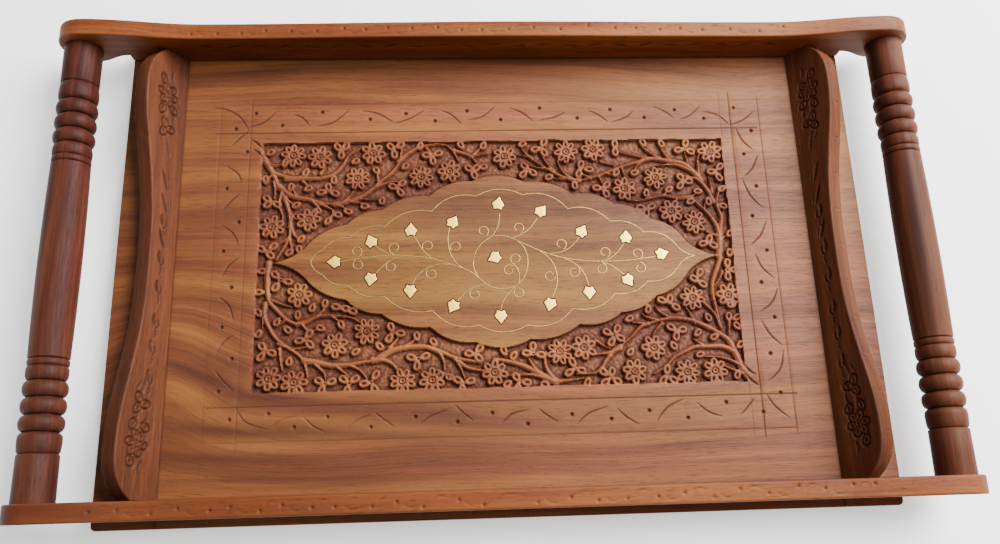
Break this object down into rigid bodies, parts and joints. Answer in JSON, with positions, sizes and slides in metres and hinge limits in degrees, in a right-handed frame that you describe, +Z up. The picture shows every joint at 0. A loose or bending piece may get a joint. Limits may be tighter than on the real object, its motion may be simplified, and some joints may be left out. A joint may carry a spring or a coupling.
{
  "type": "serving tray",
  "caption": "Rectangular carved wooden serving tray with leaning end rails, two turned bar handles and a brass leaf-and-vine inlay in the middle.",
  "frame": {"origin": "centre of the board's underside, on the surface that the tray stands on", "axes": "+X along the long rails towards the right handle, +Y towards the back long rail, +Z up"},
  "size_m": [0.51, 0.289, 0.043],
  "materials": {
    "board_wood": "hand-rubbed wax over open grain, carved panel darker in its ground",
    "rail_wood": "hand-rubbed wax, straight grain along the rail",
    "end_rail_wood": "hand-rubbed wax, reddish",
    "handle_wood": "turned and waxed, dark red-brown, satin",
    "leaf_brass": "filed flush with the wood and lightly polished",
    "wire_brass": "flat wire, filed flush, slightly tarnished",
    "steel": "plain steel wood screws"
  },
  "bodies": {
    "root": {"base_board": "board_wood", "front_rail": "rail_wood", "back_rail": "rail_wood", "left_end_rail": "end_rail_wood", "right_end_rail": "end_rail_wood", "left_handle": "handle_wood", "right_handle": "handle_wood", "brass_leaf_01": "leaf_brass", "brass_leaf_02": "leaf_brass", "brass_leaf_03": "leaf_brass", "brass_leaf_04": "leaf_brass", "brass_leaf_05": "leaf_brass", "brass_leaf_06": "leaf_brass", "brass_leaf_07": "leaf_brass", "brass_leaf_08": "leaf_brass", "brass_leaf_09": "leaf_brass", "brass_leaf_10": "leaf_brass", "brass_leaf_11": "leaf_brass", "brass_leaf_12": "leaf_brass", "brass_leaf_13": "leaf_brass", "brass_leaf_14": "leaf_brass", "brass_leaf_15": "leaf_brass", "brass_leaf_16": "leaf_brass", "brass_leaf_17": "leaf_brass", "brass_border_wire": "wire_brass", "brass_ring_wire": "wire_brass", "brass_left_vine_wires": "wire_brass", "brass_right_vine_wires": "wire_brass", "brass_left_curl_wires": "wire_brass", "brass_right_curl_wires": "wire_brass", "front_rail_screws": "steel", "back_rail_screws": "steel", "left_end_screws": "steel", "right_end_screws": "steel"}
  },
  "joints": []
}
